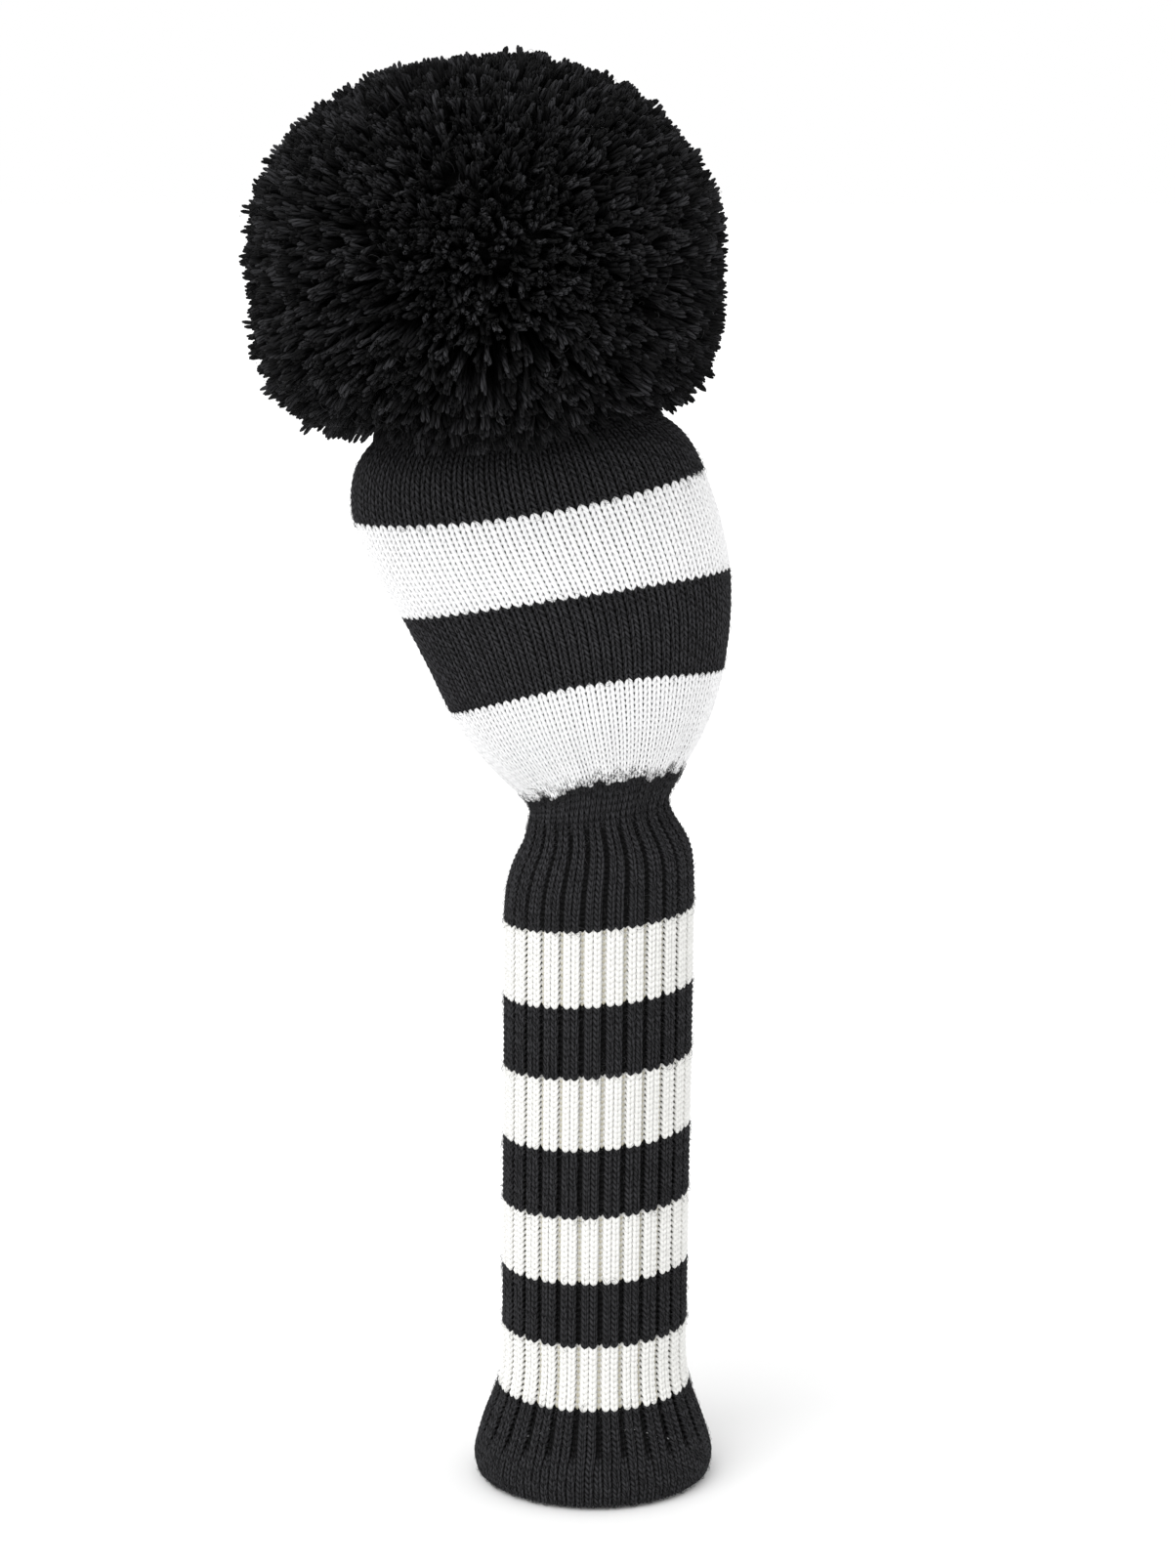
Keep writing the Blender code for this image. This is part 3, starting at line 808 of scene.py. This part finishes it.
def lining(name, node, material):
    """A thin jersey lining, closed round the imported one's two walls, and the size it has when flat."""
    skin_out, skin_in = Surface(wall_rings(node)), Surface(wall_rings(node, inner=True))
    turns = np.linspace(0, 2 * np.pi, LINING_AROUND, endpoint=False)
    heights = np.linspace(0, skin_out.knots[-1], LINING_ROWS)
    rings = [skin_out.point(np.full(LINING_AROUND, t), turns) for t in heights]
    inner_heights = np.linspace(0, skin_in.knots[-1], LINING_ROWS)[::-1]
    rings += [skin_in.point(np.full(LINING_AROUND, t), turns) for t in inner_heights]
    quads = ring_quads(len(rings), LINING_AROUND, closed=True)
    girth = np.mean([skin_out.girth(t) for t in heights])
    height = skin_out.knots[-1]
    ring, place = np.divmod(np.arange(len(quads)), LINING_AROUND)
    row, row_next = (
        np.where(r < LINING_ROWS, r, len(rings) - 1 - r) / (LINING_ROWS - 1) * height / MM
        for r in (ring, (ring + 1) % len(rings))
    )
    left, right = (turn / LINING_AROUND * girth / MM for turn in (place, place + 1))
    uv = np.stack([left, row, right, row, right, row_next, left, row_next], 1).reshape(-1, 2)
    piece = mesh_object(name, np.concatenate(rings), quads, material, uv)
    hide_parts(node)
    return piece, girth, height


# --- the pom-pom -------------------------------------------------------------------------------------


class Crown:
    """The head bag's outer skin, capped over its gathered top, which the pom-pom's yarn lies against."""

    ROWS = 120
    AROUND = 128

    def __init__(self):
        start, end = BANDS["head_band_black_middle"][0], BANDS["head_band_black_crown"][1]
        turns = np.linspace(0, 2 * np.pi, self.AROUND, endpoint=False)
        heights = np.linspace(start, end, self.ROWS)
        points = np.concatenate([COVER.point(np.full(self.AROUND, t), turns) for t in heights])
        cap = list(range(len(points) - self.AROUND, len(points)))
        faces = ring_quads(self.ROWS, self.AROUND).tolist() + [cap]
        self.skin = BVHTree.FromPolygons(points.tolist(), faces)
        self.knot = sum(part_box("crown_knot"), Vector()) / 2

    def room(self, centre, heading):
        """How far yarn can go from the pom-pom's centre without touching the crown as it tilts."""
        hit, _, _, far = self.skin.ray_cast(Vector(centre), Vector(heading).normalized())
        if hit is None:
            return math.inf
        out = math.hypot(hit.x - self.knot.x, hit.y - self.knot.y)
        return far - CROWN_GAP - out * math.tan(POM_SWING)

    def drawn_back(self, centre, reach):
        """A reach past the crown's shoulder, shortened until its tip clears the crown at every tilt."""
        if reach[2] > SHOULDER_SLOPE * np.linalg.norm(reach):
            return reach
        for _ in range(DRAW_TRIES):
            arm = Vector(centre + reach) - self.knot
            if all(self.clears(self.knot + tilt @ arm) for tilt in POM_TILTS):
                break
            reach = reach * DRAW_BACK
        return reach

    def clears(self, tip):
        """Whether a tip keeps its gap to the crown."""
        hit, normal, _, _ = self.skin.find_nearest(tip)
        return (tip - hit).dot(normal) >= TIP_GAP


def unit(vectors):
    """The vectors, each made 1 long."""
    return vectors / np.linalg.norm(vectors, axis=-1, keepdims=True)


def pom_rays(rng):
    """The yarn ends' directions at the root and, drawn into tufts, at the tip, and their tufts' swell."""
    i = np.arange(POM_STRANDS)
    z = 1 - 2 * (i + 0.5) / POM_STRANDS
    turn = math.pi * (3 - math.sqrt(5)) * i
    ring = np.sqrt(1 - z * z)
    rays = np.stack([ring * np.cos(turn), ring * np.sin(turn), z], 1)
    rays = unit(rays + rng.normal(0, RAY_SPREAD, rays.shape))
    tufts = unit(rng.normal(0, 1, (POM_TUFTS, 3)))
    near = np.exp(TUFT_SHARPNESS * (rays @ tufts.T - 1))
    near /= near.sum(1, keepdims=True)
    tips = unit(rays + TUFT_PULL * (near @ tufts - rays))
    swell = (near @ rng.normal(0, 1, POM_TUFTS)) * TUFT_SWELL
    return rays, tips, swell


def full_underside(rays):
    """How much further than an ellipsoid the yarn reaches: its underside bulges squarely over the crown."""
    flat, tall = np.linalg.norm(rays[:, :2], axis=1), np.abs(rays[:, 2])
    squared = 1 / (flat**UNDERSIDE_POWER + tall**UNDERSIDE_POWER) ** (1 / UNDERSIDE_POWER)
    return 1 + (squared - 1) * smooth(-rays[:, 2], -0.1, 0.45)


def strand_path(inner, reach, side, other, rng):
    """The middle line of one yarn end from inner to reach, bowed, and flicked sideways at its tip."""
    bow = rng.normal(0, YARN_BOW, 2)
    flick = rng.normal(0, YARN_FLICK, 2)
    sway = np.sin(np.pi * YARN_STEPS)[:, None] * (side * bow[0] + other * bow[1])
    sway += (YARN_STEPS**4)[:, None] * (side * flick[0] + other * flick[1])
    return inner + (reach - inner) * YARN_STEPS[:, None] + sway


def add_wisp(wisps, tip, direction, side, other, rng):
    """A loose fibre that curls off one yarn end."""
    steps = np.linspace(0, 1, FIBRE_POINTS)
    angle = rng.uniform(0, 2 * np.pi) + rng.normal(0, 2.5) * steps
    run = rng.uniform(2.0, 6.0) * MM / len(steps)
    across = np.cumsum(np.cos(angle))[:, None] * side + np.cumsum(np.sin(angle))[:, None] * other
    rise = np.sin(np.pi * steps) * rng.uniform(0.3, 1.2) * MM - rng.uniform(0.5, 3.0) * MM
    path = tip + across * run + rise[:, None] * direction
    values = {"tone": rng.random(), "dive": 0.0, "sunk": 0.0}
    wisps.add(path, np.broadcast_to(direction, path.shape), FUZZ_RADIUS, values=values)


def add_plies(yarns, middle, side, other, rng):
    """The plies of one yarn end, wound round its middle line, which spread towards the cut tip."""
    start_turn = rng.uniform(0, 2 * np.pi)
    tone = rng.random() ** 2
    spread = (0.5 + 0.35 * YARN_STEPS**6) * MM
    # Each end is darker towards its root, deep in the pom-pom, as painted shade.
    dive = 1 - smooth(YARN_STEPS, 0.5, 1.0)
    for ply in range(PLIES):
        angle = start_turn + ply * 2 * np.pi / PLIES + YARN_STEPS * PLY_TWIST
        path = middle + (np.cos(angle)[:, None] * side + np.sin(angle)[:, None] * other) * spread[:, None]
        values = {"tone": np.clip(tone + rng.normal(0, TONE_SPREAD), 0, 1), "sunk": 0.0, "dive": dive}
        yarns.add(path, np.broadcast_to(side, path.shape), POM_YARN * YARN_THICKNESS, values=values)


def pom_core(centre, half, crown, material):
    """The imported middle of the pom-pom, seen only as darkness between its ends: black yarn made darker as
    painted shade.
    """
    lat = np.linspace(-np.pi / 2 + CORE_POLE, np.pi / 2 - CORE_POLE, CORE_ROWS)
    lon = np.linspace(0, 2 * np.pi, CORE_AROUND, endpoint=False)
    la, lo = np.meshgrid(lat, lon, indexing="ij")
    rays = np.stack([np.cos(la) * np.cos(lo), np.cos(la) * np.sin(lo), np.sin(la)], -1).reshape(-1, 3)
    share = CORE_SHARE + (LOW_CORE_SHARE - CORE_SHARE) * smooth(-rays[:, 2], 0.0, 0.3)
    reach = rays * half * share[:, None]
    for k in range(len(reach)):
        room = crown.room(centre, reach[k]) - CORE_GAP
        reach[k] *= min(1.0, room / np.linalg.norm(reach[k]))
    quads = ring_quads(CORE_ROWS, CORE_AROUND)
    return mesh_object("pom_yarn_core", centre + reach, quads, material, np.zeros((len(quads) * 4, 2)))


def make_pom(material, core_material, wisp_material):
    """Cut yarn ends that fan out from the binding, in bundles, over a core darkened as painted shade."""
    low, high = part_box("pom_yarn")
    half = np.array([(high.x - low.x) / 2, (high.y - low.y) / 2, 0.0])
    half[2] = half[0] * POM_FLATNESS
    centre = np.array([(high.x + low.x) / 2, (high.y + low.y) / 2, high.z - half[2]])
    rng, stray = np.random.default_rng(SEED), np.random.default_rng(SEED + 2)
    crown = Crown()
    rays, tips, swell = pom_rays(rng)
    fullness = full_underside(tips)
    sectors = np.mod(np.arctan2(rays[:, 1], rays[:, 0]), 2 * np.pi) / (2 * np.pi) * POM_SECTORS
    groups, wisps = [Yarns() for _ in range(POM_SECTORS)], Yarns(FIBRE_SIDES)
    for k in range(POM_STRANDS):
        direction = tips[k]
        length = POM_LENGTH + swell[k] + rng.normal(0, LENGTH_SPREAD)
        length -= CUT_SHORT * (rng.random() < SHORT_SHARE)
        reach = half * direction * (fullness[k] * length)
        reach *= min(1.0, crown.room(centre, reach) / np.linalg.norm(reach))
        reach = crown.drawn_back(centre, reach)
        if np.linalg.norm(reach) < SHORTEST_YARN:
            continue
        side = unit(np.cross(direction, YARN_ASIDE))
        other = np.cross(direction, side)
        middle = centre + strand_path(rays[k] * half * YARN_START, reach, side, other, rng)
        if stray.random() < POM_WISPS:
            add_wisp(wisps, centre + reach, direction, side, other, stray)
        add_plies(groups[int(sectors[k])], middle, side, other, rng)
    made = [group.build(f"pom_yarn_ends_{i}", material) for i, group in enumerate(groups, start=1)]
    made.append(wisps.build("pom_wisps", wisp_material))
    made.append(pom_core(centre, half, crown, core_material))
    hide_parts("pom_yarn")
    for piece in made:
        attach(piece, "pom")


# --- stage -------------------------------------------------------------------------------------------


def make_stage():
    """A pale paper floor, a white studio all round, and one soft key light."""
    mesh = bpy.data.meshes.new("floor")
    far = FLOOR_REACH
    mesh.from_pydata([(-far, -far, 0), (far, -far, 0), (far, far, 0), (-far, far, 0)], [], [(0, 1, 2, 3)])
    floor = bpy.data.objects.new("floor", mesh)
    floor.location.z = CAD_LOW.z - FLOOR_GAP
    bpy.context.scene.collection.objects.link(floor)
    n = Nodes("floor_paper")
    n.shader.inputs["Base Color"].default_value = (0.93, 0.93, 0.93, 1)
    n.shader.inputs["Roughness"].default_value = 0.9
    n.shader.inputs["Specular IOR Level"].default_value = 0.0
    mesh.materials.append(n.material)
    world = bpy.data.worlds.new("studio")
    world.use_nodes = True
    world.node_tree.nodes["Background"].inputs[0].default_value = (1, 1, 1, 1)
    world.node_tree.nodes["Background"].inputs[1].default_value = 1.0
    bpy.context.scene.world = world
    bpy.context.scene.view_settings.view_transform = "Standard"
    key = bpy.data.lights.new("key", "SUN")
    key.energy = KEY_STRENGTH
    key.angle = KEY_SOFTNESS
    lamp = bpy.data.objects.new("key", key)
    lamp.rotation_euler = Vector(KEY_FROM).to_track_quat("Z", "Y").to_euler()
    bpy.context.scene.collection.objects.link(lamp)


def make_camera():
    """A camera in front of the cover, a little above it, which looks at its middle."""
    data = bpy.data.cameras.new("camera")
    data.lens = CAMERA_LENS
    camera = bpy.data.objects.new("camera", data)
    target = Vector((CAMERA_AIM_X, 0.0, CAD_HIGH.z * CAMERA_AIM_UP))
    back = Vector((0.0, -math.cos(CAMERA_DOWN), math.sin(CAMERA_DOWN)))
    camera.location = target + back * CAMERA_DISTANCE
    camera.rotation_euler = (-back).to_track_quat("-Z", "Y").to_euler()
    bpy.context.scene.collection.objects.link(camera)
    bpy.context.scene.camera = camera


# --- the materials' colours --------------------------------------------------------------------------

# Each yarn's dark and light colours are painted shade between its plies and painted highlight on them. The
# other settings paint shadow where it dives behind the next course, shade on its side that faces into the
# knit, and shade in a rib's valley and between two wales.
WHITE = yarn_material(
    "white_yarn", (0.83, 0.83, 0.835), (0.91, 0.91, 0.915),
    shadow=0.75, shadow_from=0.5, inward_shade=0.2, grain=0.05, streak=0.012,
)
# White rib yarn: its sunk colour is a cream tint of the yarn and painted shade in the rib valleys.
WHITE_RIB = yarn_material(
    "white_rib_yarn", (0.815, 0.812, 0.79), (0.88, 0.877, 0.855), sunk=(0.52, 0.49, 0.38),
    shadow=0.24, grain=0.05, streak=0.012,
)
# Black yarn: its sunk colour is near-black painted shade in the rib valleys and between the head's wales.
BLACK = yarn_material(
    "black_yarn", (0.001, 0.001, 0.0012), (0.035, 0.035, 0.038), sunk=(0.001, 0.001, 0.001),
    shadow=0.95, inward_shade=0.8, grain=0.9,
)
FUZZ = yarn_material("black_yarn_fuzz", (0.02, 0.02, 0.021), (0.07, 0.07, 0.073), grain=0.8)
# Pom-pom yarn: its shadow darkens each end towards the root, deep in the pom-pom, as painted shade.
POM = yarn_material(
    "pom_yarn", (0.0009, 0.0009, 0.001), (0.023, 0.023, 0.025), twist=5.0,
    shadow=0.95, grain=0.8, streak=0.75,
)
# The pom-pom's core: the same black yarn, coloured far darker than the ends as painted shade deep inside.
PACKED_SHADE = wound_material("shaded_packed_pom_yarn", (0.0006, 0.0006, 0.0006), (0.003, 0.003, 0.003), pitch=2.0 * MM)
LINING = cloth_material("lining_jersey", (0.012, 0.012, 0.013), (0.05, 0.05, 0.052))
THREAD = wound_material("seam_thread", (0.006, 0.006, 0.006), (0.03, 0.03, 0.032))
ELASTIC = wound_material("covered_elastic", (0.01, 0.01, 0.01), (0.05, 0.05, 0.052), pitch=1.1 * MM)
FELT = wound_material("washer_felt", (0.02, 0.02, 0.02), (0.06, 0.06, 0.062), pitch=2.3 * MM, axis="X")


# --- how the pieces are held: those at the waist are baked in place, the others follow the sock or the head ---


def blend_low(piece):
    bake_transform(piece)


def blend_high(piece):
    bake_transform(piece)


def hold(piece, node):
    """Makes a piece of knit follow the sock or the head, by the frame node it covers or the lowest of them; a
    piece at the waist is only baked in place.
    """
    if node in ("neck_band_black", "neck_gather_lower"):
        blend_low(piece)
    elif node in ("neck_gather_upper", "head_band_white_lower"):
        blend_high(piece)
    else:
        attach(piece, "head" if in_head(node) else "sock")


# --- the cover's pieces ------------------------------------------------------------------------------


def make_bands():
    """Every knitted band, from the hem's inner layer up."""
    for node in ["cuff_hem_inner"] + AXIS_NODES:
        if "white" in node:
            piece = knit(node, WHITE if in_head(node) else WHITE_RIB)
        else:
            piece = knit(node, BLACK)
        hold(piece, node)


def make_fuzz():
    """Loose fibres on every black stretch, by its length, and a tuft of them all round the join."""
    lengths = [BANDS[nodes[-1]][1] - BANDS[nodes[0]][0] for nodes in FUZZY]
    for number, (nodes, length) in enumerate(zip(FUZZY, lengths), start=1):
        piece = fuzz(f"fuzz_{number}", nodes, FUZZ, int(FUZZ_COUNT * (length / sum(lengths))))
        hold(piece, nodes[0])
    piece = fuzz("join_fuzz", ["neck_gather_upper"], FUZZ, JOIN_FUZZ, spill=JOIN_SPILL)
    blend_high(piece)


def make_linking_thread():
    """The thread that links the head bag to the neck, under the join."""
    linking = Yarns()
    add_ring(linking, JOIN_T, HEAD_WALES, LINKING_DEPTH, LINKING_RADIUS)
    piece = linking.build("linking_thread", BLACK)
    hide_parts("neck_linking_thread")
    blend_high(piece)


def make_linings():
    """The linings of the sock and of the head bag, each a tube of cloth."""
    for name, node, blend in (
        ("sock_lining_cloth", "sock_lining", blend_low),
        ("head_lining_cloth", "head_lining", blend_high),
    ):
        cloth, girth, height = lining(name, node, LINING)
        blend(cloth)


def dress_inner_parts():
    """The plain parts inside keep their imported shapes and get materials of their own."""
    for material, nodes in (
        (THREAD, ("cuff_hem_stitch", "crown_gather_thread", "anchor_knot", "tie_strand")),
        (THREAD, ("crown_knot", "pom_tie_cord", "pom_binding")),
        (ELASTIC, ("neck_elastic",)),
        (FELT, ("anchor_washer",)),
    ):
        for node in nodes:
            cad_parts[node].material_slots[0].material = material


make_camera()
make_stage()
make_bands()
make_fuzz()
make_linking_thread()
make_linings()
dress_inner_parts()
make_pom(POM, PACKED_SHADE, FUZZ)
